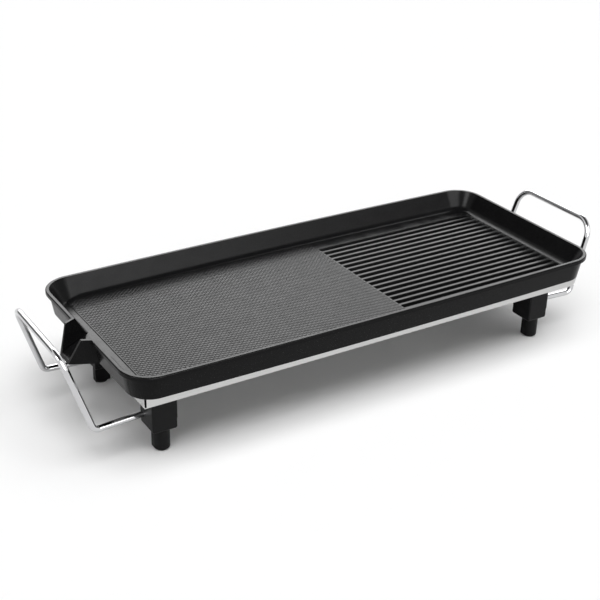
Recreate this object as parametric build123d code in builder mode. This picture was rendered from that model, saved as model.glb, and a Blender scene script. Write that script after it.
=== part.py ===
"""Electric griddle: a cast pan with a pouring spout, on a sheet-metal tray with feet and wire handles.

Millimetres, +Z up. The origin is on the supporting surface, under the middle of the pan.
X runs along the pan, with the spout at -X and the power inlet at +X.
"""
import os
from math import atan, degrees, hypot

from build123d import *

# Cooking pan
pan_length = 680.0
pan_width = 286.0
rim_height = 130.0  # top of the rim above the supporting surface
side_bow = 4.0  # how far the long sides bulge out at their middle
rim_corner_radius = 38.0
lip_height = 5.0
lip_overhang = 4.0
lip_round = 1.6
rim_width = 4.5  # flat top of the rim, from the lip to the cavity
pan_depth = 26.0  # from the rim to the draining strip beside the spout
floor_thickness = 7.5
panel_height = 1.0  # cooking surface above the draining strip
panel_to_wall = 10.5  # width of the draining strip
panel_root = 1.0  # how far the panel reaches down into the floor
outer_draft = 5.0  # how far the outer wall leans in from lip to underside
inner_draft = 15.0  # how far the inner wall leans in from rim to floor
cavity_round = 6.0
underside_round = 2.0

# Pouring spout in the left wall
spout_reach = 22.5  # tip beyond the rim
spout_top_reach = 9.5
spout_half_width = 28.5  # middle of the cheek at the rim
spout_narrowing = 0.5  # cheek half width lost per millimetre outwards
spout_lean = 0.177  # cheek half width lost per millimetre downwards
cheek_thickness = 3.5
spout_tip_drop = 30.5  # trough at the tip, below the rim
spout_tip_thickness = 4.0
tray_to_spout = 1.0  # from the tray's end to where the spout's underside starts to slope
spout_cut_height = 40.0
cut_margin = 1.0  # of the spout's cut above the rim, and short of the cooking surface

# Ribbed half of the cooking surface
rib_pitch = 12.1
rib_margin = 18.0  # least distance from the outer ribs to the side walls
rib_top_width = 3.6
rib_shoulder = 1.3  # width of the slope beside each rib's top
rib_shoulder_drop = 0.7
groove_depth = 3.2
groove_bottom_width = 4.0
groove_start = 52.0
groove_to_wall = 9.5  # from the end of a groove's full depth to the right wall
groove_ramp = 4.0  # length of the slope that leads out of each groove

# Heating element under the pan
element_diameter = 7.0
element_inset_x = 85.0  # from the tray's end wall
element_inset_y = 44.0  # from the tray's side wall
element_bend = 28.0
element_inner_bend = 12.0
element_drop = 4.0  # axis below the pan's underside
element_fit = 0.2
ridge_width = 13.0
ridge_height = 5.5
ridge_root = 1.0  # how far the ridge reaches up into the floor
cold_end_lead = 25.0  # from the guard back to where the ends begin to slope down to the pins
cold_end_length = 15.0
cold_end_bend = 6.0

# Power inlet
pin_spacing = 28.0
pin_diameter = 4.0
pin_drop = 14.0  # pins below the pan's underside
pin_lead = 5.0  # pin inside the guard's back
pin_length = 29.0
pin_tip_round = 1.2
pin_shank_diameter = 3.4  # thinner part that passes through the insulator
inlet_inset = 24.0  # from the tray's end to the guard's back
guard_length = 34.0
guard_width = 64.0
guard_height = 26.0
guard_wall = 2.0
guard_drop = 0.8  # guard roof below the pan
guard_round = 4.0
ear_length = 18.0
ear_width = 14.0
ear_screw_reach = 20.0  # from the guard's back
ear_screw_depth = 4.2
ear_boss_diameter = 10.0
insulator_diameter = 10.0
insulator_length = 5.0
sleeve_inner_diameter = 6.0
sleeve_outer_diameter = 7.6
sleeve_drop = 7.0  # probe axis below the pan's underside
sleeve_lead = 44.0  # sleeve inside the guard's back
sleeve_reach = 4.0  # sleeve outside the guard's back
probe_boss_end = 4.0  # metal beyond the sleeve's inner end
probe_boss_width = 13.0
probe_boss_cover = 3.7  # metal below the probe axis
push_fit = 0.1

# Sheet-metal tray
tray_inset_x = 20.0  # tray's end wall inside the pan's rim
tray_inset_y = 15.0  # tray's side wall inside the pan's rim
tray_height = 12.0
sheet = 1.0
hem = 6.0  # inward flange that the pan rests on
corner_slit = 2.6
vent_length = 46.0
vent_width = 6.0
vent_margin_x = 30.0  # least distance from the vents' middles to the element
vent_margin_y = 40.0
vent_pitch_x = 66.0
vent_pitch_y = 34.0
notch_lead = 50.0  # notch for the inlet, inside the guard's back
notch_clearance = 3.0  # around the guard's ears

# Feet: a block with a leg under it, parted at the height of the handle wire
foot_inset = 36.8  # from the tray's end to the middle of the foot
block_inset = 26.0  # from the tray's side to the block
block_length = 32.5
block_width = 35.5
block_round = 2.5
block_bottom = 28.0
block_bottom_round = 3.5
leg_recess = 0.4  # lower part of the block inside the upper part
leg_width = 20.0
leg_flat = 6.5  # from the leg's axis to its flat
leg_inset = 13.0  # from the block's outer face to the leg's axis
leg_round = 2.2
screw_diameter = 4.0
screw_head_diameter = 7.6
screw_head_height = 3.0
screw_bore = 9.0
screw_seat = 28.0  # height of the screw head's seat in the leg
screw_tail = 1.5  # thread beyond the nut
hole_clearance = 0.4
nut_across_flats = 7.0
nut_height = 3.2
washer_diameter = 10.0
washer_height = 0.8
pad_standoff = 1.0  # pad below the moulded leg
pad_diameter = 15.0
pad_stem_height = 7.0

# Wire handles
wire_diameter = 8.0
wire_fit = 0.2
handle_low_z = 42.5
handle_end_past_foot = 4.5  # wire's end beyond the middle of the foot
handle_to_leg = 16.8  # wire's end beside the leg's axis
handle_spread = 6.3  # how far the low wires run apart
handle_reach = 21.5  # lower corner beyond the rim
handle_lean = 31.5  # how far the handle leans out
handle_narrowing = 6.0  # how far each upright leans in
handle_rise = 11.5  # top of the handle above the rim
handle_low_bend = 9.0
handle_top_bend = 24.0

# Locating pins between pan and tray
locator_inset_x = 60.0
locator_inset_y = 24.0
locator_diameter = 5.0
locator_length = 14.5
locator_depth = 4.0  # pressed into its boss
locator_round = 1.5
boss_diameter = 12.0
boss_height = 4.5
grommet_bore = 6.0
grommet_waist = 8.0
grommet_flange = 12.0
grommet_flange_height = 1.5

# Lengths and places that follow from the sizes above
tray_length = pan_length - 2 * tray_inset_x
tray_width = pan_width - 2 * tray_inset_y
cavity_length = pan_length - 2 * rim_width
cavity_width = pan_width - 2 * rim_width
floor_length = cavity_length - 2 * inner_draft
floor_width = cavity_width - 2 * inner_draft
floor_corner_radius = rim_corner_radius - rim_width - inner_draft
panel_start = panel_to_wall - floor_length / 2
groove_end = floor_length / 2 - groove_to_wall
rib_count = int((floor_width - 2 * rib_margin) // rib_pitch) + 1
element_half_length = tray_length / 2 - element_inset_x
element_half_width = tray_width / 2 - element_inset_y
vent_columns = int(2 * (element_half_length - vent_margin_x) // vent_pitch_x) + 1
vent_rows = int(2 * (element_half_width - vent_margin_y) // vent_pitch_y) + 1
inlet_back = tray_length / 2 - inlet_inset
cold_end_start = inlet_back - cold_end_lead
pin_start = inlet_back - pin_lead
ear_screw_x = inlet_back + ear_screw_reach
sleeve_start = inlet_back - sleeve_lead
sleeve_end = inlet_back + sleeve_reach
boss_start = sleeve_start - probe_boss_end
notch_start = inlet_back - notch_lead
foot_x = tray_length / 2 - foot_inset
block_outer_y = tray_width / 2 - block_inset
block_y = block_outer_y - block_width / 2
leg_axis_y = block_outer_y - leg_inset
leg_flat_y = leg_axis_y - leg_flat
handle_end_x = foot_x - handle_end_past_foot
handle_end_y = leg_axis_y - handle_to_leg
handle_low_x = pan_length / 2 + handle_reach
handle_low_y = handle_end_y + handle_spread
handle_top_x = handle_low_x + handle_lean
handle_top_y = handle_low_y - handle_narrowing
handle_top_z = rim_height + handle_rise
locator_x = tray_length / 2 - locator_inset_x
locator_y = tray_width / 2 - locator_inset_y

# Heights
lip_bottom = rim_height - lip_height
floor_top = rim_height - pan_depth
cooking_top = floor_top + panel_height
pan_bottom = floor_top - floor_thickness
tray_top = pan_bottom
tray_bottom = tray_top - tray_height
tray_floor = tray_bottom + sheet
element_z = pan_bottom - element_drop
pin_z = pan_bottom - pin_drop
sleeve_z = pan_bottom - sleeve_drop
guard_top = pan_bottom - guard_drop
guard_middle = guard_top - guard_height / 2
ear_y = guard_width / 2 + ear_width / 2
washer_top = tray_floor + washer_height
nut_top = washer_top + nut_height
leg_bottom = pad_standoff
locator_top = pan_bottom - boss_height + locator_depth
corners = {
    "front_left": (-1, -1),
    "front_right": (1, -1),
    "back_right": (1, 1),
    "back_left": (-1, 1),
}
locator_places = [(i * locator_x, j * locator_y) for i, j in corners.values()]
foot_screw_places = [(i * foot_x, j * leg_axis_y) for i, j in corners.values()]
ear_screw_places = [(ear_screw_x, -ear_y), (ear_screw_x, ear_y)]
pin_places = [(-pin_spacing / 2, pin_z), (pin_spacing / 2, pin_z)]
insulator_start = inlet_back + (guard_wall - insulator_length) / 2
insulator_end = insulator_start + insulator_length

loop_points = [
    (cold_end_start, -pin_spacing / 2, element_z),
    (element_half_length, -pin_spacing / 2, element_z),
    (element_half_length, -element_half_width, element_z),
    (-element_half_length, -element_half_width, element_z),
    (-element_half_length, element_half_width, element_z),
    (element_half_length, element_half_width, element_z),
    (element_half_length, pin_spacing / 2, element_z),
    (cold_end_start, pin_spacing / 2, element_z),
]
loop_bends = [element_inner_bend] + 4 * [element_bend] + [element_inner_bend]
slope_end = cold_end_start + cold_end_length
element_points = [
    (pin_start, -pin_spacing / 2, pin_z),
    (slope_end, -pin_spacing / 2, pin_z),
    *loop_points,
    (slope_end, pin_spacing / 2, pin_z),
    (pin_start, pin_spacing / 2, pin_z),
]
element_bends = 2 * [cold_end_bend] + loop_bends + 2 * [cold_end_bend]

os.makedirs("parts", exist_ok=True)


def finish(name, piece):
    """Label a finished piece and write it."""
    piece.part.label = name
    export_step(piece.part, f"parts/{name}.step")


def bowed_outline(length, width, bow, radius):
    """Rounded rectangle whose long sides bulge out."""
    x, y = length / 2, width / 2
    with BuildSketch(mode=Mode.PRIVATE) as outline:
        with BuildLine():
            ThreePointArc((-x, -y), (0, -y - bow), (x, -y))
            Line((x, -y), (x, y))
            ThreePointArc((x, y), (0, y + bow), (-x, y))
            Line((-x, y), (-x, -y))
        make_face()
        fillet(outline.vertices(), radius)
    return outline.sketch


def cheek_half_width(x, z):
    """Half width of the spout, to the middle of its cheek, at a place in space."""
    outwards = -pan_length / 2 - x
    return spout_half_width - spout_narrowing * outwards - spout_lean * (rim_height - z)


def spout_section(inner_x, outer_x, z, offset):
    """Trapezium of the spout in a level plane, its sides moved out by the offset."""
    near = cheek_half_width(inner_x, z) + offset
    far = cheek_half_width(outer_x, z) + offset
    with BuildSketch(mode=Mode.PRIVATE) as section:
        with BuildLine():
            Polyline((inner_x, -near), (inner_x, near), (outer_x, far), (outer_x, -far), close=True)
        make_face()
    return section.sketch


# Cooking pan: shell, spout, cavity, ribs and the bosses of its underside
shell_length = pan_length - 2 * lip_overhang
shell_width = pan_width - 2 * lip_overhang
shell_height = lip_bottom - pan_bottom
outer_taper = degrees(atan(outer_draft / shell_height))
inner_taper = degrees(atan(inner_draft / pan_depth))
tip_x = -pan_length / 2 - spout_reach
tip_top_x = -pan_length / 2 - spout_top_reach
trough_start_x = -pan_length / 2 + rim_width + inner_draft
tip_bottom = rim_height - spout_tip_drop - spout_tip_thickness
spout_root_x = -tray_length / 2 - tray_to_spout
cut_start_x = panel_start - cut_margin
cut_end_x = tip_x - spout_top_reach
groove_top_width = rib_pitch - rib_top_width

with BuildPart() as cooking_pan:
    with BuildSketch(Plane.XY.offset(lip_bottom)):
        add(bowed_outline(shell_length, shell_width, side_bow, rim_corner_radius - lip_overhang))
    extrude(amount=-shell_height, taper=outer_taper)
    fillet(cooking_pan.faces().sort_by(Axis.Z)[0].edges(), underside_round)
    with BuildSketch(Plane.XY.offset(lip_bottom)):
        add(bowed_outline(pan_length, pan_width, side_bow, rim_corner_radius))
    extrude(amount=lip_height)
    fillet(cooking_pan.faces().sort_by(Axis.Z)[-1].edges(), lip_round)

    # Spout body, its underside sloping down to the tip
    with BuildSketch(Plane.XY.offset(rim_height)):
        add(spout_section(trough_start_x, tip_top_x, rim_height, cheek_thickness / 2))
    with BuildSketch(Plane.XY.offset(tip_bottom)):
        add(spout_section(trough_start_x, tip_x, tip_bottom, cheek_thickness / 2))
    loft()
    with BuildSketch(Plane.XZ):
        with BuildLine():
            Polyline(
                (0, pan_bottom),
                (spout_root_x, pan_bottom),
                (tip_x, tip_bottom),
                (tip_x - spout_reach, tip_bottom),
                (tip_x - spout_reach, tip_bottom - spout_reach),
                (0, tip_bottom - spout_reach),
                close=True,
            )
        make_face()
    extrude(amount=pan_width / 2, both=True, mode=Mode.SUBTRACT)

    # Cavity
    with BuildSketch(Plane.XY.offset(rim_height)):
        add(bowed_outline(cavity_length, cavity_width, side_bow, rim_corner_radius - rim_width))
    extrude(amount=-pan_depth, taper=inner_taper, mode=Mode.SUBTRACT)
    fillet(cooking_pan.faces(Select.LAST).sort_by(Axis.Z)[0].edges(), cavity_round)
    with BuildSketch(Plane.XY.offset(floor_top - panel_root)):
        add(bowed_outline(floor_length, floor_width, side_bow, floor_corner_radius))
        with Locations((panel_start, 0)):
            Rectangle(floor_length, pan_width, align=(Align.MAX, Align.CENTER), mode=Mode.SUBTRACT)
    extrude(amount=panel_height + panel_root)

    # Opening of the spout: through the wall, between the cheeks, down to the sloping trough
    for height in (rim_height + cut_margin, floor_top):
        with BuildSketch(Plane.XY.offset(height)):
            add(spout_section(cut_start_x, cut_end_x, height, -cheek_thickness / 2))
    loft(mode=Mode.SUBTRACT)
    channel_half = cheek_half_width(trough_start_x, floor_top) - cheek_thickness / 2
    tip_half = cheek_half_width(tip_x, tip_bottom) - cheek_thickness / 2
    with BuildSketch(Plane.YZ.offset(trough_start_x)):
        with Locations((0, floor_top + spout_cut_height / 2)):
            Rectangle(2 * channel_half, spout_cut_height)
    with BuildSketch(Plane.YZ.offset(tip_x)):
        with Locations((0, rim_height - spout_tip_drop + spout_cut_height / 2)):
            Rectangle(2 * tip_half, spout_cut_height)
    loft(mode=Mode.SUBTRACT)

    # Grooves between the ribs, each with a slope that leads out at its end
    groove_half = groove_top_width / 2
    with BuildSketch(Plane.YZ.offset(groove_start)) as groove_starts:
        with Locations((0, cooking_top)):
            with GridLocations(rib_pitch, 0, rib_count - 1, 1):
                Polygon(
                    (-groove_half, 0),
                    (-groove_half + rib_shoulder, -rib_shoulder_drop),
                    (-groove_bottom_width / 2, -groove_depth),
                    (groove_bottom_width / 2, -groove_depth),
                    (groove_half - rib_shoulder, -rib_shoulder_drop),
                    (groove_half, 0),
                    align=None,
                )
    groove_ends = groove_starts.sketch.moved(Location((groove_end - groove_start, 0, 0)))
    ramp_length = hypot(groove_ramp, groove_depth)
    extrude(amount=groove_end - groove_start, mode=Mode.SUBTRACT)
    extrude(groove_ends, amount=ramp_length, dir=(groove_ramp, 0, groove_depth), mode=Mode.SUBTRACT)

    # Underside: ridge for the element, bosses for the locating pins, the probe and the guard's screws
    with BuildLine() as ridge_path:
        FilletPolyline(*loop_points, radius=loop_bends)
    with BuildSketch(Plane.YZ.offset(cold_end_start)):
        with Locations((-pin_spacing / 2, pan_bottom - ridge_height / 2 + ridge_root / 2)):
            Rectangle(ridge_width, ridge_height + ridge_root)
    sweep(path=ridge_path.wire())
    with BuildSketch(Plane.XY.offset(pan_bottom)):
        with Locations(*locator_places):
            Circle(boss_diameter / 2)
    extrude(amount=-boss_height)
    with BuildSketch(Plane.XY.offset(pan_bottom)):
        with Locations(*ear_screw_places):
            Circle(ear_boss_diameter / 2)
    extrude(amount=-guard_drop)
    with BuildSketch(Plane.XY.offset(pan_bottom)):
        with Locations(((boss_start + inlet_back) / 2, 0)):
            Rectangle(inlet_back - boss_start, probe_boss_width)
    extrude(amount=-(sleeve_drop + probe_boss_cover))

    # Groove and holes of the underside
    with BuildLine() as element_channel:
        FilletPolyline(*element_points, radius=element_bends)
    with BuildSketch(Plane.YZ.offset(pin_start)):
        with Locations((-pin_spacing / 2, pin_z)):
            Circle(element_diameter / 2 + element_fit)
    sweep(path=element_channel.wire(), mode=Mode.SUBTRACT)
    with BuildSketch(Plane.XY.offset(pan_bottom - boss_height)):
        with Locations(*locator_places):
            Circle(locator_diameter / 2 + push_fit)
    extrude(amount=locator_depth, mode=Mode.SUBTRACT)
    with BuildSketch(Plane.XY.offset(guard_top)):
        with Locations(*ear_screw_places):
            Circle(screw_diameter / 2 + push_fit)
    extrude(amount=ear_screw_depth + hole_clearance, mode=Mode.SUBTRACT)
    with BuildSketch(Plane.YZ.offset(inlet_back)):
        with Locations((0, sleeve_z)):
            Circle(sleeve_outer_diameter / 2 + push_fit)
    extrude(amount=sleeve_start - inlet_back, mode=Mode.SUBTRACT)
finish("cooking_pan", cooking_pan)

# Heating element: one sheathed tube, both ends at the inlet
with BuildPart() as heating_element:
    with BuildLine() as element_path:
        FilletPolyline(*element_points, radius=element_bends)
    with BuildSketch(Plane.YZ.offset(pin_start)):
        with Locations((-pin_spacing / 2, pin_z)):
            Circle(element_diameter / 2)
    sweep(path=element_path.wire())
finish("heating_element", heating_element)

with BuildPart() as terminal_pins:
    with BuildSketch(Plane.YZ.offset(pin_start)):
        with Locations(*pin_places):
            Circle(pin_shank_diameter / 2)
    extrude(amount=insulator_end - pin_start)
    with BuildSketch(Plane.YZ.offset(insulator_end)):
        with Locations(*pin_places):
            Circle(pin_diameter / 2)
    extrude(amount=pin_start + pin_length - insulator_end)
    fillet(terminal_pins.faces().group_by(Axis.X)[-1].edges(), pin_tip_round)
finish("terminal_pins", terminal_pins)

with BuildPart() as terminal_insulators:
    with BuildSketch(Plane.YZ.offset(insulator_start)):
        with Locations(*pin_places):
            Circle(insulator_diameter / 2)
            Circle(pin_shank_diameter / 2 + push_fit, mode=Mode.SUBTRACT)
    extrude(amount=insulator_length)
finish("terminal_insulators", terminal_insulators)

with BuildPart() as probe_sleeve:
    with BuildSketch(Plane.YZ.offset(sleeve_start)):
        with Locations((0, sleeve_z)):
            Circle(sleeve_outer_diameter / 2)
            Circle(sleeve_inner_diameter / 2, mode=Mode.SUBTRACT)
    extrude(amount=sleeve_end - sleeve_start)
finish("probe_sleeve", probe_sleeve)

# Guard around the inlet: a steel cup, open outwards, with an ear on each side
with BuildPart() as inlet_guard:
    with BuildSketch(Plane.YZ.offset(inlet_back)):
        with Locations((0, guard_middle)):
            RectangleRounded(guard_width, guard_height, guard_round)
    extrude(amount=guard_length)
    with BuildSketch(Plane.YZ.offset(inlet_back + guard_wall)):
        with Locations((0, guard_middle)):
            RectangleRounded(
                guard_width - 2 * guard_wall,
                guard_height - 2 * guard_wall,
                guard_round - guard_wall,
            )
    extrude(amount=guard_length, mode=Mode.SUBTRACT)
    with BuildSketch(Plane.XY.offset(guard_top)):
        for side in (-1, 1):
            with Locations((ear_screw_x, side * (ear_y - guard_round / 2))):
                Rectangle(ear_length, ear_width + guard_round)
    extrude(amount=-guard_wall)
    with BuildSketch(Plane.XY.offset(guard_top)):
        with Locations(*ear_screw_places):
            Circle(screw_diameter / 2 + hole_clearance / 2)
    extrude(amount=-guard_wall, mode=Mode.SUBTRACT)
    with BuildSketch(Plane.YZ.offset(inlet_back)):
        with Locations(*pin_places):
            Circle(insulator_diameter / 2 + push_fit)
        with Locations((0, sleeve_z)):
            Circle(sleeve_outer_diameter / 2 + push_fit)
    extrude(amount=guard_wall, mode=Mode.SUBTRACT)
finish("inlet_guard", inlet_guard)

with BuildPart() as guard_screws:
    with BuildSketch(Plane.XY.offset(guard_top - guard_wall)):
        with Locations(*ear_screw_places):
            Circle(screw_diameter / 2)
    extrude(amount=guard_wall + ear_screw_depth)
    with BuildSketch(Plane.XY.offset(guard_top - guard_wall)):
        with Locations(*ear_screw_places):
            Circle(screw_head_diameter / 2)
    extrude(amount=-screw_head_height)
finish("guard_screws", guard_screws)

with BuildPart() as locating_pins:
    with BuildSketch(Plane.XY.offset(locator_top)):
        with Locations(*locator_places):
            Circle(locator_diameter / 2)
    extrude(amount=-locator_length)
    fillet(locating_pins.faces().group_by(Axis.Z)[0].edges(), locator_round)
finish("locating_pins", locating_pins)

# Sheet-metal tray: folded walls with open corner seams and a hem that carries the pan
with BuildPart() as sheet_tray:
    with BuildSketch(Plane.XY.offset(tray_bottom)):
        Rectangle(tray_length, tray_width)
    extrude(amount=tray_height)
    with BuildSketch(Plane.XY.offset(tray_floor)):
        Rectangle(tray_length - 2 * sheet, tray_width - 2 * sheet)
    extrude(amount=tray_height - 2 * sheet, mode=Mode.SUBTRACT)
    with BuildSketch(Plane.XY.offset(tray_top)):
        Rectangle(tray_length - 2 * hem, tray_width - 2 * hem)
    extrude(amount=-sheet, mode=Mode.SUBTRACT)
    with BuildSketch(Plane.XY.offset(tray_floor)):
        with GridLocations(tray_length - corner_slit, tray_width - corner_slit, 2, 2):
            Rectangle(corner_slit, corner_slit)
    extrude(amount=tray_height, mode=Mode.SUBTRACT)
    with BuildSketch(Plane.XY.offset(tray_bottom)):
        with GridLocations(vent_pitch_x, vent_pitch_y, vent_columns, vent_rows):
            SlotOverall(vent_length, vent_width)
        with Locations(*foot_screw_places):
            Circle(screw_diameter / 2 + hole_clearance / 2)
        with Locations(*locator_places):
            Circle(grommet_waist / 2 + push_fit)
    extrude(amount=sheet, mode=Mode.SUBTRACT)
    notch_width = 2 * (ear_y + ear_width / 2 + notch_clearance)
    with BuildSketch(Plane.XY.offset(tray_bottom)):
        with Locations(((notch_start + tray_length / 2) / 2, 0)):
            Rectangle(tray_length / 2 - notch_start, notch_width)
    extrude(amount=tray_height, mode=Mode.SUBTRACT)
finish("sheet_tray", sheet_tray)

with BuildPart() as tray_grommets:
    for height, diameter in (
        (tray_bottom - grommet_flange_height, grommet_flange),
        (tray_bottom, grommet_waist),
        (tray_floor, grommet_flange),
    ):
        is_waist = diameter == grommet_waist
        with BuildSketch(Plane.XY.offset(height)):
            with Locations(*locator_places):
                Circle(diameter / 2)
                Circle(grommet_bore / 2, mode=Mode.SUBTRACT)
        extrude(amount=sheet if is_waist else grommet_flange_height)
finish("tray_grommets", tray_grommets)

# Wire handles: each wire runs out of one foot, up, across and back into the next
for side_name, side in (("left", -1), ("right", 1)):
    wire_points = [
        (side * handle_end_x, -handle_end_y, handle_low_z),
        (side * handle_low_x, -handle_low_y, handle_low_z),
        (side * handle_top_x, -handle_top_y, handle_top_z),
        (side * handle_top_x, handle_top_y, handle_top_z),
        (side * handle_low_x, handle_low_y, handle_low_z),
        (side * handle_end_x, handle_end_y, handle_low_z),
    ]
    wire_bends = [handle_low_bend, handle_top_bend, handle_top_bend, handle_low_bend]
    with BuildPart() as wire_handle:
        with BuildLine() as wire_path:
            FilletPolyline(*wire_points, radius=wire_bends)
        with BuildSketch(Plane(origin=wire_path.wire() @ 0, z_dir=wire_path.wire() % 0)):
            Circle(wire_diameter / 2)
        sweep(path=wire_path.wire())
    finish(f"handle_{side_name}", wire_handle)

# Feet, one at each corner: block above the wire, leg below it, pad under the leg
wire_run = Vector(handle_low_x - handle_end_x, handle_low_y - handle_end_y, 0)
for corner, (i, j) in corners.items():
    wire_end = Vector(i * handle_end_x, j * handle_end_y, handle_low_z)
    wire_direction = Vector(i * wire_run.X, j * wire_run.Y, 0).normalized()
    wire_plane = Plane(origin=wire_end - wire_direction * hole_clearance, z_dir=wire_direction)

    with BuildPart() as foot_block:
        with BuildSketch(Plane.XY.offset(handle_low_z)):
            with Locations((i * foot_x, j * block_y)):
                RectangleRounded(block_length, block_width, block_round)
            with Locations((i * foot_x, j * leg_axis_y)):
                Circle(screw_diameter / 2 + hole_clearance / 2, mode=Mode.SUBTRACT)
        extrude(amount=tray_bottom - handle_low_z)
        with BuildSketch(wire_plane):
            Circle(wire_diameter / 2 + wire_fit)
        extrude(amount=block_length, mode=Mode.SUBTRACT)
    finish(f"foot_block_{corner}", foot_block)

    with BuildPart() as foot_leg:
        with BuildSketch(Plane.XY.offset(handle_low_z)):
            with Locations((i * foot_x, j * block_y)):
                RectangleRounded(
                    block_length - 2 * leg_recess,
                    block_width - 2 * leg_recess,
                    block_round - leg_recess,
                )
        extrude(amount=block_bottom - handle_low_z)
        fillet(foot_leg.faces().sort_by(Axis.Z)[0].edges(), block_bottom_round)
        with BuildSketch(Plane.XY.offset(leg_bottom)):
            with Locations((i * foot_x, j * leg_axis_y)):
                Circle(leg_width / 2)
            with Locations((i * foot_x, j * (leg_flat_y + leg_axis_y) / 2)):
                Rectangle(leg_width, leg_axis_y - leg_flat_y)
            with Locations((i * foot_x, j * (leg_flat_y - leg_width / 2))):
                Rectangle(leg_width, leg_width, mode=Mode.SUBTRACT)
        extrude(amount=block_bottom + block_bottom_round - leg_bottom)
        fillet(foot_leg.faces().sort_by(Axis.Z)[0].edges(), leg_round)
        with BuildSketch(Plane.XY.offset(leg_bottom)):
            with Locations((i * foot_x, j * leg_axis_y)):
                Circle(screw_bore / 2)
        extrude(amount=screw_seat - leg_bottom, mode=Mode.SUBTRACT)
        with BuildSketch(Plane.XY.offset(screw_seat)):
            with Locations((i * foot_x, j * leg_axis_y)):
                Circle(screw_diameter / 2 + hole_clearance / 2)
        extrude(amount=handle_low_z - screw_seat, mode=Mode.SUBTRACT)
        with BuildSketch(wire_plane):
            Circle(wire_diameter / 2 + wire_fit)
        extrude(amount=block_length, mode=Mode.SUBTRACT)
    finish(f"foot_leg_{corner}", foot_leg)

    with BuildPart() as foot_pad:
        with BuildSketch(Plane.XY):
            with Locations((i * foot_x, j * leg_axis_y)):
                Circle(pad_diameter / 2)
        extrude(amount=pad_standoff)
        with BuildSketch(Plane.XY.offset(pad_standoff)):
            with Locations((i * foot_x, j * leg_axis_y)):
                Circle(screw_bore / 2 - push_fit)
        extrude(amount=pad_stem_height)
    finish(f"foot_pad_{corner}", foot_pad)

with BuildPart() as foot_screws:
    with BuildSketch(Plane.XY.offset(screw_seat)):
        with Locations(*foot_screw_places):
            Circle(screw_diameter / 2)
    extrude(amount=nut_top + screw_tail - screw_seat)
    with BuildSketch(Plane.XY.offset(screw_seat)):
        with Locations(*foot_screw_places):
            Circle(screw_head_diameter / 2)
    extrude(amount=-screw_head_height)
finish("foot_screws", foot_screws)

with BuildPart() as foot_washers:
    with BuildSketch(Plane.XY.offset(tray_floor)):
        with Locations(*foot_screw_places):
            Circle(washer_diameter / 2)
            Circle(screw_diameter / 2 + push_fit, mode=Mode.SUBTRACT)
    extrude(amount=washer_height)
finish("foot_washers", foot_washers)

with BuildPart() as foot_nuts:
    with BuildSketch(Plane.XY.offset(washer_top)):
        with Locations(*foot_screw_places):
            RegularPolygon(nut_across_flats / 2, 6, major_radius=False)
            Circle(screw_diameter / 2 + push_fit, mode=Mode.SUBTRACT)
    extrude(amount=nut_height)
finish("foot_nuts", foot_nuts)
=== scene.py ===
"""Electric griddle: finishes, detail pieces and a small studio, laid out as an add-on.

Metres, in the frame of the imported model: +Z up, X along the pan, the spout at -X.
"""
from collections import namedtuple
from math import ceil, cos, hypot, radians, sin

import bmesh
import bpy
from mathutils import Matrix, Vector


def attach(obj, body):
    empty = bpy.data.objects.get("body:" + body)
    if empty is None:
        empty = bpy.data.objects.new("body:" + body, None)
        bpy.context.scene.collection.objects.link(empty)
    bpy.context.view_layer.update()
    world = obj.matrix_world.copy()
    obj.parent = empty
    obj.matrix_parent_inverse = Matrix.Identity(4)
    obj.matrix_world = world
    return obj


bl_info = {
    "name": "Electric Griddle",
    "version": (1, 0, 0),
    "blender": (4, 5, 0),
    "location": "View3D > Sidebar > Griddle",
    "description": "Finishes the pieces of an electric griddle and sets up its studio",
    "category": "Object",
}

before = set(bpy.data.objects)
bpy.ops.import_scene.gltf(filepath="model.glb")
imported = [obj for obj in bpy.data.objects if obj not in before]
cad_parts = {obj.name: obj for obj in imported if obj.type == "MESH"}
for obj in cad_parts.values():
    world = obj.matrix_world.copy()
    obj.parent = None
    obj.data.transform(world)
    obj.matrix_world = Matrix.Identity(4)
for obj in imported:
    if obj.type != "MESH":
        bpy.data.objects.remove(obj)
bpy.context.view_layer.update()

MM = 0.001
SAME_PLACE = 0.000001  # vertices nearer than this are one
CORNERS = ("front_left", "front_right", "back_right", "back_left")

# Angles in degrees: heading from +Y towards +X, height over the horizon, and how far a screen
# reaches from its middle at full strength and in all.
Screen = namedtuple("Screen", "heading height core edge brightness")
SCREENS = (
    Screen(heading=14.0, height=36.0, core=9.0, edge=22.0, brightness=8.4),
    Screen(heading=46.0, height=32.0, core=6.0, edge=22.0, brightness=6.6),
    Screen(heading=180.0, height=34.0, core=20.0, edge=33.0, brightness=7.0),
    Screen(heading=260.0, height=35.0, core=3.0, edge=13.0, brightness=15.0),
)
# Dark flags dim what they cover, bright screens included.
FLAGS = (
    Screen(heading=322.0, height=14.0, core=8.0, edge=22.0, brightness=0.1),
    Screen(heading=0.0, height=90.0, core=34.0, edge=46.0, brightness=0.08),
)
# Share of the overhead light, and how many degrees the lamp leans to the right.
LAMPS = {"overhead_light": (0.52, 0.0), "left_light": (0.28, -30.0), "right_light": (0.2, 30.0)}
LAMP_HEIGHT = 2.0
FLOOR_REACH = 12.0  # from the middle of the floor to its edges
FLOOR_ROUGHNESS = 0.9
SENSOR_WIDTH = 36.0  # millimetres
VIEW_DEPTH = 60.0

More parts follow.
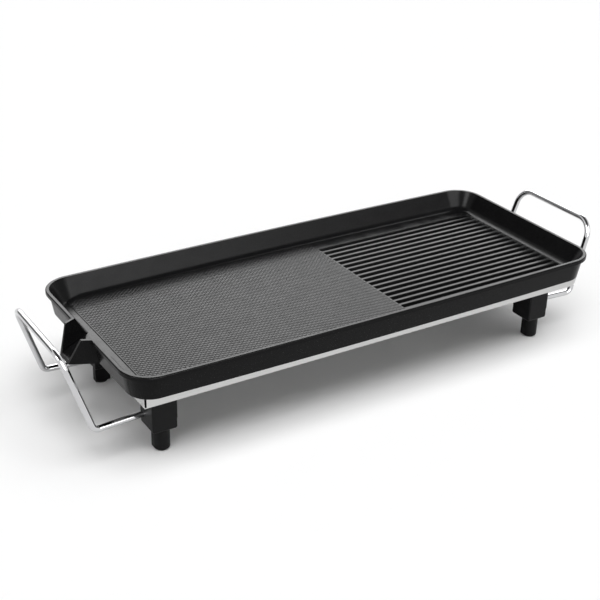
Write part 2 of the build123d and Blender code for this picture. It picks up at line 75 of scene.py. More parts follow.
# Grain and blotches are sized in millimetres, and the height of the grain in metres. Dark and
# light are the tinted colour's factors, one for all channels or one for each. Smoother and
# rougher are how far the roughness goes down and up.
Finish = namedtuple(
    "Finish",
    "roughness smoother rougher metallic gloss grain blotch height tinted_by dark light varied_by",
)
COATING = Finish(
    roughness=0.23, smoother=0.04, rougher=0.04, metallic=0.0, gloss=0.08,
    grain=1.2, blotch=16.0, height=0.00003,
    tinted_by="Grain", dark=0.6, light=1.5, varied_by="Blotch",
)
CHROME_PLATE = Finish(
    roughness=0.06, smoother=0.02, rougher=0.04, metallic=1.0, gloss=0.5,
    grain=1.2, blotch=25.0, height=0.000003,
    tinted_by="Blotch", dark=0.97, light=1.0, varied_by="Blotch",
)
MOULDED_PLASTIC = Finish(
    roughness=0.4, smoother=0.04, rougher=0.08, metallic=0.0, gloss=0.12,
    grain=0.6, blotch=12.0, height=0.00003,
    tinted_by="Grain", dark=0.8, light=1.3, varied_by="Blotch",
)
SOFT_RUBBER = Finish(
    roughness=0.8, smoother=0.08, rougher=0.08, metallic=0.0, gloss=0.3,
    grain=0.4, blotch=5.0, height=0.00004,
    tinted_by="Blotch", dark=0.8, light=1.3, varied_by="Grain",
)
BRIGHT_STEEL = Finish(
    roughness=0.22, smoother=0.06, rougher=0.1, metallic=1.0, gloss=0.5,
    grain=0.6, blotch=6.0, height=0.00001,
    tinted_by="Blotch", dark=0.85, light=1.08, varied_by="Blotch",
)
GUARD_STEEL = BRIGHT_STEEL._replace(roughness=0.38, grain=0.8)
ZINC_PLATE = BRIGHT_STEEL._replace(roughness=0.34, grain=0.5)
HOT_SHEATH = Finish(
    roughness=0.5, smoother=0.08, rougher=0.1, metallic=1.0, gloss=0.5,
    grain=0.8, blotch=45.0, height=0.00003,
    tinted_by="Blotch", dark=1.0, light=(1.35, 1.05, 0.75), varied_by="Grain",
)
WHITE_CERAMIC = Finish(
    roughness=0.55, smoother=0.05, rougher=0.07, metallic=0.0, gloss=0.5,
    grain=0.3, blotch=3.0, height=0.00002,
    tinted_by="Speckle", dark=1.0, light=0.93, varied_by="Grain",
)
# The tray's sheet has lines along it instead of grain.
SATIN_SHEET = Finish(
    roughness=0.35, smoother=0.05, rougher=0.05, metallic=1.0, gloss=0.5,
    grain=None, blotch=None, height=0.000006,
    tinted_by="Lines", dark=0.9, light=1.05, varied_by="Clouds",
)
MASK_RANGE = (0.3, 0.7)  # the part of a noise that is spread over a finish's whole range
SPECKLE_RADII = (0.05, 0.35)  # a speckle's core and edge, in cells


# ---------------------------------------------------------------- node helpers


def add_node(tree, kind, inputs=None, **settings):
    """A shader node with its settings and the values of its sockets."""
    made = tree.nodes.new(kind)
    for key, value in settings.items():
        setattr(made, key, value)
    for key, value in (inputs or {}).items():
        made.inputs[key].default_value = value
    return made


def link(tree, source, output, target, socket):
    tree.links.new(source.outputs[output], target.inputs[socket])


def ramp(tree, source, output, low, high, to_low=0.0, to_high=1.0):
    """Map a range of a value to another, clamped and smooth."""
    made = add_node(
        tree,
        "ShaderNodeMapRange",
        {"From Min": low, "From Max": high, "To Min": to_low, "To Max": to_high},
        interpolation_type="SMOOTHSTEP",
    )
    link(tree, source, output, made, "Value")
    return made


def new_group(name, inputs, outputs):
    """An empty node group with float inputs and outputs."""
    group = bpy.data.node_groups.new(name, "ShaderNodeTree")
    for label, default in inputs.items():
        socket = group.interface.new_socket(
            name=label, in_out="INPUT", socket_type="NodeSocketFloat"
        )
        socket.default_value = default
    for label in outputs:
        group.interface.new_socket(name=label, in_out="OUTPUT", socket_type="NodeSocketFloat")
    return group, add_node(group, "NodeGroupInput"), add_node(group, "NodeGroupOutput")


def per_metre(group, given, label):
    """How many times a size in millimetres goes into a metre."""
    rate = add_node(group, "ShaderNodeMath", {0: 1.0 / MM}, operation="DIVIDE")
    link(group, given, label, rate, 1)
    return rate


def grain_group():
    """Fine grain of a sprayed or moulded surface, with slow blotches and round speckles."""
    group = bpy.data.node_groups.get("surface_grain")
    if group:
        return group
    group, given, result = new_group(
        "surface_grain", {"Grain Size": 0.5, "Blotch Size": 20.0}, ["Grain", "Blotch", "Speckle"]
    )
    coordinates = add_node(group, "ShaderNodeTexCoord")
    for label, output in (("Grain Size", "Grain"), ("Blotch Size", "Blotch")):
        rate = per_metre(group, given, label)
        noise = add_node(group, "ShaderNodeTexNoise", {"Detail": 3.0, "Roughness": 0.6})
        link(group, coordinates, "Object", noise, "Vector")
        link(group, rate, "Value", noise, "Scale")
        link(group, noise, "Fac", result, output)
    rate = per_metre(group, given, "Grain Size")
    cells = add_node(group, "ShaderNodeTexVoronoi", feature="F1")
    link(group, coordinates, "Object", cells, "Vector")
    link(group, rate, "Value", cells, "Scale")
    speckle = ramp(group, cells, "Distance", *SPECKLE_RADII, 1.0, 0.0)
    link(group, speckle, "Result", result, "Speckle")
    return group


def rolled_sheet_group():
    """Long fine scratches along X, as rolling and brushing leave on sheet."""
    group = bpy.data.node_groups.get("rolled_sheet")
    if group:
        return group
    group, given, result = new_group(
        "rolled_sheet", {"Line Length": 60.0, "Line Width": 0.25}, ["Lines", "Clouds"]
    )
    coordinates = add_node(group, "ShaderNodeTexCoord")
    along = per_metre(group, given, "Line Length")
    across = per_metre(group, given, "Line Width")
    rates = add_node(group, "ShaderNodeCombineXYZ")
    link(group, along, "Value", rates, "X")
    link(group, across, "Value", rates, "Y")
    link(group, across, "Value", rates, "Z")
    stretched = add_node(group, "ShaderNodeVectorMath", operation="MULTIPLY")
    link(group, coordinates, "Object", stretched, 0)
    link(group, rates, "Vector", stretched, 1)
    lines = add_node(group, "ShaderNodeTexNoise", {"Scale": 1.0, "Detail": 4.0, "Roughness": 0.65})
    link(group, stretched, "Vector", lines, "Vector")
    link(group, lines, "Fac", result, "Lines")
    clouds = add_node(group, "ShaderNodeTexNoise", {"Scale": 14.0, "Detail": 2.0})
    link(group, coordinates, "Object", clouds, "Vector")
    link(group, clouds, "Fac", result, "Clouds")
    return group


def new_material(name, colour, roughness, metallic, gloss):
    """A Principled material. Uniform values are set on its own sockets."""
    material = bpy.data.materials.new(name)
    material.use_nodes = True
    tree = material.node_tree
    tree.nodes.clear()
    values = {
        "Base Color": shade(colour, 1.0),
        "Roughness": roughness,
        "Metallic": metallic,
        "Specular IOR Level": gloss,
    }
    shader = add_node(tree, "ShaderNodeBsdfPrincipled", values)
    surface = add_node(tree, "ShaderNodeOutputMaterial")
    link(tree, shader, "BSDF", surface, "Surface")
    return material, tree, shader


def shade(colour, factor):
    """A colour times one factor, or times one for each channel."""
    factors = factor if isinstance(factor, tuple) else (factor,) * 3
    return (*(channel * part for channel, part in zip(colour, factors)), 1.0)


def vary(tree, shader, source, output, smoothest, roughest):
    """Roughness runs between two values with a mask."""
    spread = ramp(tree, source, output, *MASK_RANGE, smoothest, roughest)
    link(tree, spread, "Result", shader, "Roughness")


def tint(tree, shader, source, output, dark, light):
    """Base colour runs between two colours with a mask."""
    mask = ramp(tree, source, output, *MASK_RANGE)
    mix = add_node(tree, "ShaderNodeMix", data_type="RGBA")
    mix.inputs["A"].default_value = dark
    mix.inputs["B"].default_value = light
    link(tree, mask, "Result", mix, "Factor")
    link(tree, mix, "Result", shader, "Base Color")


def raise_surface(tree, shader, source, output, height):
    """Bump of a small real height, in metres."""
    bump = add_node(tree, "ShaderNodeBump", {"Strength": 1.0, "Distance": height})
    link(tree, source, output, bump, "Height")
    link(tree, bump, "Normal", shader, "Normal")


# ------------------------------------------------------------------- materials


def finished(name, colour, finish, group, relief):
    """A material in a colour, with a finish whose masks and relief come from a node group."""
    material, tree, shader = new_material(
        name, colour, finish.roughness, finish.metallic, finish.gloss
    )
    masks = add_node(tree, "ShaderNodeGroup", node_tree=group)
    if finish.grain:
        masks.inputs["Grain Size"].default_value = finish.grain
        masks.inputs["Blotch Size"].default_value = finish.blotch
    dark, light = shade(colour, finish.dark), shade(colour, finish.light)
    tint(tree, shader, masks, finish.tinted_by, dark, light)
    smoothest = finish.roughness - finish.smoother
    roughest = finish.roughness + finish.rougher
    vary(tree, shader, masks, finish.varied_by, smoothest, roughest)
    raise_surface(tree, shader, masks, relief, finish.height)
    return material


def grained(name, colour, finish):
    """A material with grain and blotches."""
    return finished(name, colour, finish, grain_group(), "Grain")


def coating_material(settings):
    """Black non-stick coating over cast aluminium, shared by the pieces of the pan."""
    name = "nonstick_coating"
    if name in bpy.data.materials:
        return bpy.data.materials[name]
    finish = COATING._replace(
        roughness=settings.coating_roughness,
        gloss=settings.coating_gloss,
        grain=settings.grain_size / MM,
        height=settings.grain_height,
    )
    return grained(name, settings.coating, finish)


# --------------------------------------------------------------- piece helpers


def dress(node_name, material):
    """Give a carried-over node its material."""
    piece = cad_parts[node_name]
    piece.data.materials.clear()
    piece.data.materials.append(material)


def new_piece(name, shape, material, body):
    """Turn a finished bmesh into a piece that rides on a body."""
    mesh = bpy.data.meshes.new(name)
    shape.to_mesh(mesh)
    shape.free()
    piece = bpy.data.objects.new(name, mesh)
    bpy.context.scene.collection.objects.link(piece)
    mesh.materials.append(material)
    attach(piece, body)


def smooth_below(shape, angle):
    """Smooth shading, with edges sharper than the angle kept crisp."""
    for face in shape.faces:
        face.smooth = True
    for edge in shape.edges:
        edge.smooth = len(edge.link_faces) == 2 and edge.calc_face_angle(0.0) < angle


# ------------------------------------------------------------------ properties


class GriddlePan(bpy.types.PropertyGroup):
    """Cooking pan, its embossed surface and the rounded foot of its wall."""

    coating: bpy.props.FloatVectorProperty(
        name="Coating", description="Colour of the non-stick coating",
        subtype="COLOR", default=(0.005, 0.005, 0.0052), min=0.0, max=1.0,
    )
    coating_roughness: bpy.props.FloatProperty(
        name="Coating Roughness", description="How matt the coating is",
        default=COATING.roughness, min=0.0, max=1.0,
    )
    coating_gloss: bpy.props.FloatProperty(
        name="Coating Gloss", description="Strength of the coating's reflection",
        default=COATING.gloss, min=0.0, max=1.0,
    )
    grain_size: bpy.props.FloatProperty(
        name="Grain Size", description="Size of the coating's grain",
        default=COATING.grain * MM, min=0.0001, max=0.01, unit="LENGTH", precision=5,
    )
    grain_height: bpy.props.FloatProperty(
        name="Grain Height", description="Height of the coating's grain",
        default=COATING.height, min=0.0, max=0.001, unit="LENGTH", precision=6,
    )
    emboss_pitch: bpy.props.FloatProperty(
        name="Emboss Pitch", description="Distance between the diagonal rows of studs",
        default=0.00428, min=0.002, max=0.02, unit="LENGTH", precision=5,
    )
    emboss_height: bpy.props.FloatProperty(
        name="Emboss Height", description="Height of the studs",
        default=0.00026, min=0.0, max=0.002, unit="LENGTH", precision=5,
    )
    emboss_groove: bpy.props.FloatProperty(
        name="Emboss Groove", description="Width of the slope on each side of a stud",
        default=0.0011, min=0.0, max=0.002, unit="LENGTH", precision=5,
    )
    emboss_level: bpy.props.FloatProperty(
        name="Emboss Level", description="Height of the grooves between the studs",
        default=0.10505, min=0.0, max=1.0, unit="LENGTH", precision=5,
    )
    emboss_root: bpy.props.FloatProperty(
        name="Emboss Root", description="How far the embossed layer reaches down into the pan",
        default=0.0004, min=0.0, max=0.01, unit="LENGTH", precision=5,
    )
    emboss_half_width: bpy.props.FloatProperty(
        name="Emboss Half Width", description="From the middle to the long edges, at their ends",
        default=0.1215, min=0.01, max=1.0, unit="LENGTH", precision=4,
    )
    emboss_bow: bpy.props.FloatProperty(
        name="Emboss Bow", description="How far the long edges bulge out at their middle",
        default=0.004, min=0.0, max=0.1, unit="LENGTH", precision=4,
    )
    emboss_corner: bpy.props.FloatProperty(
        name="Emboss Corner", description="Size of the cut-off corners at the left edge",
        default=0.009, min=0.0, max=0.1, unit="LENGTH", precision=4,
    )
    emboss_start: bpy.props.FloatProperty(
        name="Emboss Start", description="Left edge of the embossed surface",
        default=-0.3085, min=-1.0, max=0.0, unit="LENGTH", precision=4,
    )
    emboss_end: bpy.props.FloatProperty(
        name="Emboss End", description="Right edge of the embossed surface, at the ribs",
        default=0.0508, min=0.0, max=1.0, unit="LENGTH", precision=4,
    )
    cove_reach: bpy.props.FloatProperty(
        name="Cove Reach", description="How far the wall's rounded foot reaches over the floor",
        default=0.0064, min=0.001, max=0.05, unit="LENGTH", precision=4,
    )
    cove_level: bpy.props.FloatProperty(
        name="Cove Level", description="Height of the floor that the rounded foot meets",
        default=0.105, min=0.0, max=1.0, unit="LENGTH", precision=4,
    )
    cove_half_length: bpy.props.FloatProperty(
        name="Cove Half Length", description="From the middle to the foot of the right wall",
        default=0.3211, min=0.01, max=1.0, unit="LENGTH", precision=4,
    )
    cove_half_width: bpy.props.FloatProperty(
        name="Cove Half Width",
        description="From the middle to the foot of the long walls, at their ends",
        default=0.1241, min=0.01, max=1.0, unit="LENGTH", precision=4,
    )
    cove_corner: bpy.props.FloatProperty(
        name="Cove Corner", description="Radius of the foot of the wall in the corners",
        default=0.0191, min=0.001, max=0.1, unit="LENGTH", precision=4,
    )


class GriddleTray(bpy.types.PropertyGroup):
    """Sheet-metal tray."""

    steel: bpy.props.FloatVectorProperty(
        name="Steel", description="Colour of the sheet", subtype="COLOR",
        default=(0.56, 0.56, 0.555), min=0.0, max=1.0,
    )


class GriddleHandles(bpy.types.PropertyGroup):
    """Wire handles."""

    chrome: bpy.props.FloatVectorProperty(
        name="Chrome", description="Colour of the plated wire", subtype="COLOR",
        default=(0.58, 0.58, 0.59), min=0.0, max=1.0,
    )


class GriddleFeet(bpy.types.PropertyGroup):
    """Moulded feet and their pads."""

    plastic: bpy.props.FloatVectorProperty(
        name="Plastic", description="Colour of the moulded feet", subtype="COLOR",
        default=(0.005, 0.005, 0.0053), min=0.0, max=1.0,
    )
    rubber: bpy.props.FloatVectorProperty(
        name="Rubber", description="Colour of the pads", subtype="COLOR",
        default=(0.02, 0.02, 0.02), min=0.0, max=1.0,
    )


class GriddleHeater(bpy.types.PropertyGroup):
    """Heating element, inlet and hardware."""

    sheath: bpy.props.FloatVectorProperty(
        name="Sheath", description="Colour of the element's sheath", subtype="COLOR",
        default=(0.16, 0.155, 0.15), min=0.0, max=1.0,
    )
    terminal: bpy.props.FloatVectorProperty(
        name="Terminals", description="Colour of the terminal pins and the probe's sleeve",
        subtype="COLOR", default=(0.68, 0.68, 0.67), min=0.0, max=1.0,
    )
    ceramic: bpy.props.FloatVectorProperty(
        name="Ceramic", description="Colour of the insulators", subtype="COLOR",
        default=(0.78, 0.76, 0.7), min=0.0, max=1.0,
    )
    zinc: bpy.props.FloatVectorProperty(
        name="Zinc", description="Colour of screws, nuts and washers", subtype="COLOR",
        default=(0.5, 0.51, 0.52), min=0.0, max=1.0,
    )
    guard: bpy.props.FloatVectorProperty(
        name="Guard", description="Colour of the guard round the inlet", subtype="COLOR",
        default=(0.45, 0.45, 0.45), min=0.0, max=1.0,
    )


class GriddleStage(bpy.types.PropertyGroup):
    """Floor, lamps and camera."""

    floor: bpy.props.FloatVectorProperty(
        name="Floor", description="Colour of the floor", subtype="COLOR",
        default=(0.93, 0.93, 0.93), min=0.0, max=1.0,
    )
    ambient: bpy.props.FloatProperty(
        name="Ambient", description="Strength of the light from all round",
        default=0.15, min=0.0, max=2.0,
    )
    key_strength: bpy.props.FloatProperty(
        name="Overhead Light", description="Strength of the overhead light",
        default=3.04, min=0.0, max=20.0,
    )
    key_spread: bpy.props.FloatProperty(
        name="Overhead Spread",
        description="How wide the overhead light is, and so how soft its shadows",
        default=radians(42.0), unit="ROTATION",
    )
    key_tilt: bpy.props.FloatProperty(
        name="Overhead Tilt", description="How far the overhead light leans to the front",
        default=radians(16.0), unit="ROTATION",
    )
    screens: bpy.props.FloatProperty(
        name="Reflected Screens",
        description="Brightness of the screens that gloss shows, times the usual",
        default=1.0, min=0.0, max=20.0,
    )
    lens: bpy.props.FloatProperty(
        name="Lens", description="Focal length of the camera, in millimetres",
        default=72.25, min=10.0, max=300.0,
    )
    camera_place: bpy.props.FloatVectorProperty(
        name="Camera Place", description="Where the camera stands", subtype="XYZ", unit="LENGTH",
        default=(-0.7799, -1.17446, 0.7969),
    )
    camera_heading: bpy.props.FloatProperty(
        name="Camera Heading", description="Turn from +Y towards +X",
        default=radians(32.21), unit="ROTATION",
    )
    camera_tilt: bpy.props.FloatProperty(
        name="Camera Tilt", description="How far the camera looks down",
        default=radians(26.86), unit="ROTATION",
    )
    camera_roll: bpy.props.FloatProperty(
        name="Camera Roll", description="Roll of the camera",
        default=radians(1.35), unit="ROTATION",
    )


# ------------------------------------------------------------------- operators


class GRIDDLE_OT_stage(bpy.types.Operator):
    """Floor, lamps, world and camera"""

    bl_idname = "griddle.stage"
    bl_label = "Stage"

    def execute(self, context):
        settings = context.scene.griddle_stage
        context.scene.view_settings.view_transform = "Standard"
        self.lay_floor(context.scene, settings)
        self.light_world(context.scene, settings)
        self.hang_lamps(context.scene, settings)
        self.place_camera(context.scene, settings)
        return {"FINISHED"}

    def lay_floor(self, scene, settings):
        """A plain pale floor that takes the shadow."""
        shape = bmesh.new()
        bmesh.ops.create_grid(shape, x_segments=1, y_segments=1, size=FLOOR_REACH)
        mesh = bpy.data.meshes.new("studio_floor")
        shape.to_mesh(mesh)
        shape.free()
        floor = bpy.data.objects.new("studio_floor", mesh)
        scene.collection.objects.link(floor)
        material, _, _ = new_material("studio_floor", settings.floor, FLOOR_ROUGHNESS, 0.0, 0.0)
        mesh.materials.append(material)

    def hang_lamps(self, scene, settings):
        """Wide lamps overhead that share the light. Gloss shows the screens instead of them."""
        for name, (share, lean) in LAMPS.items():
            light = bpy.data.lights.new(name, "SUN")
            light.energy = settings.key_strength * share / cos(radians(lean))
            light.angle = settings.key_spread
            lamp = bpy.data.objects.new(name, light)
            lamp.visible_glossy = False
            sideways = Matrix.Rotation(radians(lean), 4, "Y")
            forwards = Matrix.Rotation(settings.key_tilt, 4, "X")
            place = Matrix.Translation((0.0, 0.0, LAMP_HEIGHT))
            lamp.matrix_world = place @ (sideways @ forwards)
            scene.collection.objects.link(lamp)

    def place_camera(self, scene, settings):
        """The camera stands, looks and rolls as the settings say."""
        heading, tilt, roll = settings.camera_heading, settings.camera_tilt, settings.camera_roll
        ahead = Vector((sin(heading) * cos(tilt), cos(heading) * cos(tilt), -sin(tilt)))
        level = Vector((cos(heading), -sin(heading), 0.0))
        rise = level.cross(ahead)
        right = cos(roll) * level + sin(roll) * rise
        up = cos(roll) * rise - sin(roll) * level
        turn = Matrix((right, up, -ahead)).transposed().to_4x4()
        lens = bpy.data.cameras.new("product_camera")
        lens.lens = settings.lens
        lens.sensor_width = SENSOR_WIDTH
        lens.clip_end = VIEW_DEPTH
        camera = bpy.data.objects.new("product_camera", lens)
        camera.matrix_world = Matrix.Translation(settings.camera_place) @ turn
        scene.collection.objects.link(camera)
        scene.camera = camera

    def light_world(self, scene, settings):
        """White to the camera, a soft fill on the object, and screens in its reflections."""
        world = bpy.data.worlds.new("studio")
        scene.world = world
        world.use_nodes = True
        tree = world.node_tree
        tree.nodes.clear()
        light_path = add_node(tree, "ShaderNodeLightPath")
        seen = add_node(tree, "ShaderNodeMath", operation="MAXIMUM")
        link(tree, light_path, "Is Camera Ray", seen, 0)
        link(tree, light_path, "Is Transmission Ray", seen, 1)

        direction = add_node(tree, "ShaderNodeTexCoord")
        total = add_node(tree, "ShaderNodeValue")
        total.outputs[0].default_value = 1.0
        for screen in SCREENS:
            extra = (screen.brightness - 1.0) * settings.screens
            added = self.towards(tree, direction, screen, 0.0, extra)
            summed = add_node(tree, "ShaderNodeMath", operation="ADD")
            link(tree, total, 0, summed, 0)
            link(tree, added, "Result", summed, 1)
            total = summed
        for flag in FLAGS:
            kept = self.towards(tree, direction, flag, 1.0, flag.brightness)
            dimmed = add_node(tree, "ShaderNodeMath", operation="MULTIPLY")
            link(tree, total, 0, dimmed, 0)
            link(tree, kept, "Result", dimmed, 1)
            total = dimmed

        reflected = add_node(tree, "ShaderNodeMapRange", {"To Min": settings.ambient})
        link(tree, light_path, "Is Glossy Ray", reflected, "Value")
        link(tree, total, 0, reflected, "To Max")
        strength = add_node(tree, "ShaderNodeMapRange", {"To Max": 1.0})
        link(tree, seen, "Value", strength, "Value")
        link(tree, reflected, "Result", strength, "To Min")
        background = add_node(tree, "ShaderNodeBackground", {"Color": (1.0, 1.0, 1.0, 1.0)})
        link(tree, strength, "Result", background, "Strength")
        surface = add_node(tree, "ShaderNodeOutputWorld")
        link(tree, background, "Background", surface, "Surface")

    def towards(self, tree, direction, screen, outside, inside):
        """A value that changes smoothly from outside a round screen to inside it."""
        heading, height = radians(screen.heading), radians(screen.height)
        nearness = add_node(tree, "ShaderNodeVectorMath", operation="DOT_PRODUCT")
        nearness.inputs[1].default_value = (
            sin(heading) * cos(height), cos(heading) * cos(height), sin(height)
        )
        link(tree, direction, "Generated", nearness, 0)
        edge, core = cos(radians(screen.edge)), cos(radians(screen.core))
        return ramp(tree, nearness, "Value", edge, core, outside, inside)


class GRIDDLE_OT_pan(bpy.types.Operator):
    """Coat the cooking pan"""

    bl_idname = "griddle.pan"
    bl_label = "Cooking Pan"

    def execute(self, context):
        dress("cooking_pan", coating_material(context.scene.griddle_pan))
        return {"FINISHED"}


class GRIDDLE_OT_emboss(bpy.types.Operator):
    """Emboss the flat half of the cooking surface with small square studs"""

    bl_idname = "griddle.emboss"
    bl_label = "Embossed Surface"

    row_angle = radians(45.0)
    bends = (1.0, 12.0, 24.0, 36.0)  # of the bowed edges, in corner sizes from the left edge

    def execute(self, context):
        settings = context.scene.griddle_pan
        pitch, base = settings.emboss_pitch, settings.emboss_level
        left, right = settings.emboss_start, settings.emboss_end
        half_width, bow = settings.emboss_half_width, settings.emboss_bow
        middle = (left + right) / 2
        reach = hypot((right - left) / 2, half_width + bow) + pitch
        rows = ceil(2 * reach / pitch)

        shape = bmesh.new()
        turn = Matrix.Rotation(self.row_angle, 4, "Z")
        turned = Matrix.Translation((middle, 0.0, base)) @ turn
        bmesh.ops.create_grid(
            shape, x_segments=rows, y_segments=rows, size=rows * pitch / 2, matrix=turned
        )
        outside = [
            face
            for face in shape.faces
            if abs(face.calc_center_median().x - middle) > (right - left) / 2 + pitch
            or abs(face.calc_center_median().y) > half_width + bow + pitch
        ]
        bmesh.ops.delete(shape, geom=outside, context="FACES")
        bmesh.ops.inset_individual(
            shape,
            faces=shape.faces[:],
            thickness=settings.emboss_groove,
            depth=settings.emboss_height,
        )
        for place, outwards in self.border(left, right, half_width, bow, settings.emboss_corner):
            bmesh.ops.bisect_plane(
                shape,
                geom=shape.verts[:] + shape.edges[:] + shape.faces[:],
                dist=SAME_PLACE,
                plane_co=(*place, base),
                plane_no=(*outwards, 0.0),
                clear_outer=True,
            )
        rim = [edge for edge in shape.edges if edge.is_boundary]
        skirt = bmesh.ops.extrude_edge_only(shape, edges=rim)["geom"]
        for vertex in skirt:
            if isinstance(vertex, bmesh.types.BMVert):
                vertex.co.z = base - settings.emboss_root
        underside = [edge for edge in shape.edges if edge.is_boundary]
        bmesh.ops.contextual_create(shape, geom=underside)
        bmesh.ops.recalc_face_normals(shape, faces=shape.faces[:])
        new_piece("embossed_surface", shape, coating_material(settings), "pan")
        return {"FINISHED"}

    def border(self, left, right, half_width, bow, corner):
        """Points on the border of the embossed surface, with the direction outwards there."""
        places = [left + corner * step for step in self.bends]
        yield (left, 0.0), (-1.0, 0.0)
        yield (right, 0.0), (1.0, 0.0)
        for side in (-1, 1):
            edge = [
                (x, side * (half_width + bow * (1 - (x / left) ** 2))) for x in (*places, right)
            ]
            yield (left, edge[0][1] - side * corner), (-1.0, side * 1.0)
            for (x0, y0), (x1, y1) in zip(edge, edge[1:]):
                yield (x0, y0), (side * (y0 - y1), side * (x1 - x0))


class GRIDDLE_OT_cove(bpy.types.Operator):
    """Round the foot of the inner wall along the cooking surface"""

    bl_idname = "griddle.cove"
    bl_label = "Rounded Foot of the Wall"

    wall_lean = radians(30.0)  # of the inner wall from upright
    root = 0.0005  # how far the piece reaches into floor and wall
    round_steps = 8
    corner_steps = 8
    taper_length = 0.02  # over which the left ends thin out
    tip_size = 0.02  # share of the full size that is left at their tips
    bends = (-0.2, -0.1, 0.0, 0.1, 0.2)  # places along the bowed long walls
    crease = radians(30.0)

    def execute(self, context):
        settings = context.scene.griddle_pan
        stations = self.stations(settings)
        outline = self.outline(settings)

        shape = bmesh.new()
        across, along = len(outline), len(stations) - 1
        bmesh.ops.create_grid(shape, x_segments=along, y_segments=across, size=1.0)
        for vertex in shape.verts:
            place, outwards, size = stations[round((vertex.co.x + 1.0) / 2 * along)]
            inwards, height = outline[round((vertex.co.y + 1.0) / 2 * across) % across]
            vertex.co = place - outwards * inwards * size
            vertex.co.z = settings.cove_level + height * size
        bmesh.ops.remove_doubles(shape, verts=shape.verts[:], dist=SAME_PLACE)
        open_ends = [edge for edge in shape.edges if edge.is_boundary]
        bmesh.ops.holes_fill(shape, edges=open_ends, sides=0)
        bmesh.ops.recalc_face_normals(shape, faces=shape.faces[:])
        smooth_below(shape, self.crease)
        new_piece("wall_foot", shape, coating_material(settings), "pan")
        return {"FINISHED"}

    def outline(self, settings):
        """Cross-section: distance in from the wall's foot, and height over the floor."""
        reach, root = settings.cove_reach, self.root
        radius = reach * cos(self.wall_lean) / sin(self.wall_lean)
        step = (radians(90.0) - self.wall_lean) / self.round_steps
        turns = [step * count for count in range(self.round_steps + 1)]
        curve = [(reach - radius * sin(turn), radius * (1 - cos(turn))) for turn in turns]
        top_inwards, top_height = curve[-1]
        return [*curve, (top_inwards - root, top_height), (-root, -root), (reach, -root)]

    def stations(self, settings):
        """Places along the foot of the wall, with the direction outwards and the size there."""
        half_length, corner = settings.cove_half_length, settings.cove_corner
        start = settings.emboss_start
        sides = []
        for x in (start, start + self.taper_length, *self.bends, half_length - corner):
            y = settings.cove_half_width + settings.emboss_bow * (1 - (x / half_length) ** 2)
            size = self.tip_size if x == start else 1.0
            sides.append((Vector((x, y, 0.0)), Vector((0.0, 1.0, 0.0)), size))
        centre = sides[-1][0] - Vector((0.0, corner, 0.0))
        for count in range(1, self.corner_steps + 1):
            turn = radians(90.0) * (1 - count / self.corner_steps)
            outwards = Vector((cos(turn), sin(turn), 0.0))
            sides.append((centre + outwards * corner, outwards, 1.0))
        mirror = Matrix.Diagonal((1.0, -1.0, 1.0))
        front = [
            (mirror @ place, mirror @ outwards, size)
            for place, outwards, size in reversed(sides)
        ]
        return sides + front


class GRIDDLE_OT_tray(bpy.types.Operator):
    """Finish the sheet-metal tray"""

    bl_idname = "griddle.tray"
    bl_label = "Sheet Tray"

    def execute(self, context):
        colour = context.scene.griddle_tray.steel
        satin = finished("satin_sheet", colour, SATIN_SHEET, rolled_sheet_group(), "Lines")
        dress("sheet_tray", satin)
        return {"FINISHED"}


class GRIDDLE_OT_handles(bpy.types.Operator):
    """Plate the wire handles"""

    bl_idname = "griddle.handles"
    bl_label = "Wire Handles"

    def execute(self, context):
        chrome = grained("chrome_plate", context.scene.griddle_handles.chrome, CHROME_PLATE)
        for side in ("left", "right"):
            dress(f"handle_{side}", chrome)
        return {"FINISHED"}


class GRIDDLE_OT_feet(bpy.types.Operator):
    """Finish the moulded feet and their pads"""

    bl_idname = "griddle.feet"
    bl_label = "Feet"

    def execute(self, context):
        settings = context.scene.griddle_feet
        plastic = grained("moulded_plastic", settings.plastic, MOULDED_PLASTIC)
        rubber = grained("soft_rubber", settings.rubber, SOFT_RUBBER)
        for corner in CORNERS:
            dress(f"foot_block_{corner}", plastic)
            dress(f"foot_leg_{corner}", plastic)
            dress(f"foot_pad_{corner}", rubber)
        dress("tray_grommets", rubber)
        return {"FINISHED"}


class GRIDDLE_OT_heater(bpy.types.Operator):
    """Finish the heating element and the inlet"""

    bl_idname = "griddle.heater"
    bl_label = "Heater and Inlet"

    def execute(self, context):
        settings = context.scene.griddle_heater
        sheath = grained("heat_tinted_sheath", settings.sheath, HOT_SHEATH)
        bright = grained("bright_terminal", settings.terminal, BRIGHT_STEEL)
        ceramic = grained("white_ceramic", settings.ceramic, WHITE_CERAMIC)
        guard = grained("guard_sheet", settings.guard, GUARD_STEEL)
        dress("heating_element", sheath)
        dress("terminal_pins", bright)
        dress("probe_sleeve", bright)
        dress("terminal_insulators", ceramic)
        dress("inlet_guard", guard)
        return {"FINISHED"}


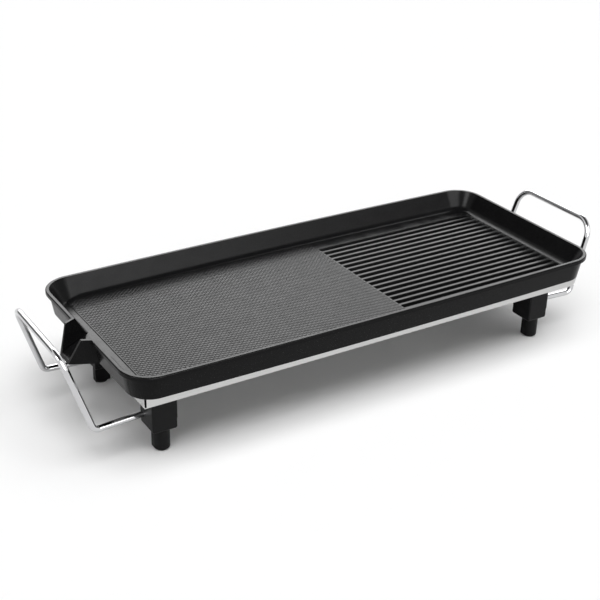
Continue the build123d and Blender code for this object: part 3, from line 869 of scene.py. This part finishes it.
class GRIDDLE_OT_hardware(bpy.types.Operator):
    """Finish screws, washers, nuts and locating pins"""

    bl_idname = "griddle.hardware"
    bl_label = "Hardware"

    def execute(self, context):
        zinc = grained("zinc_plate", context.scene.griddle_heater.zinc, ZINC_PLATE)
        for name in ("guard_screws", "foot_screws", "foot_washers", "foot_nuts", "locating_pins"):
            dress(name, zinc)
        return {"FINISHED"}


class GRIDDLE_PT_sidebar(bpy.types.Panel):
    """Builds the griddle piece by piece"""

    bl_idname = "GRIDDLE_PT_sidebar"
    bl_label = "Electric Griddle"
    bl_space_type = "VIEW_3D"
    bl_region_type = "UI"
    bl_category = "Griddle"

    def draw(self, context):
        for operator in OPERATORS:
            self.layout.operator(operator.bl_idname)
        for key in PROPERTIES:
            box = self.layout.box()
            settings = getattr(context.scene, key)
            for label in settings.__annotations__:
                box.prop(settings, label)


PROPERTIES = {
    "griddle_pan": GriddlePan,
    "griddle_tray": GriddleTray,
    "griddle_handles": GriddleHandles,
    "griddle_feet": GriddleFeet,
    "griddle_heater": GriddleHeater,
    "griddle_stage": GriddleStage,
}
OPERATORS = (
    GRIDDLE_OT_stage,
    GRIDDLE_OT_pan,
    GRIDDLE_OT_emboss,
    GRIDDLE_OT_cove,
    GRIDDLE_OT_tray,
    GRIDDLE_OT_handles,
    GRIDDLE_OT_feet,
    GRIDDLE_OT_heater,
    GRIDDLE_OT_hardware,
)


def register():
    for kind in (*PROPERTIES.values(), *OPERATORS, GRIDDLE_PT_sidebar):
        bpy.utils.register_class(kind)
    for key, kind in PROPERTIES.items():
        setattr(bpy.types.Scene, key, bpy.props.PointerProperty(type=kind))


def unregister():
    for key in PROPERTIES:
        delattr(bpy.types.Scene, key)
    for kind in reversed((*PROPERTIES.values(), *OPERATORS, GRIDDLE_PT_sidebar)):
        bpy.utils.unregister_class(kind)


def main():
    register()
    for operator in OPERATORS:
        group, call = operator.bl_idname.split(".")
        getattr(getattr(bpy.ops, group), call)()


if __name__ == "__main__":
    main()
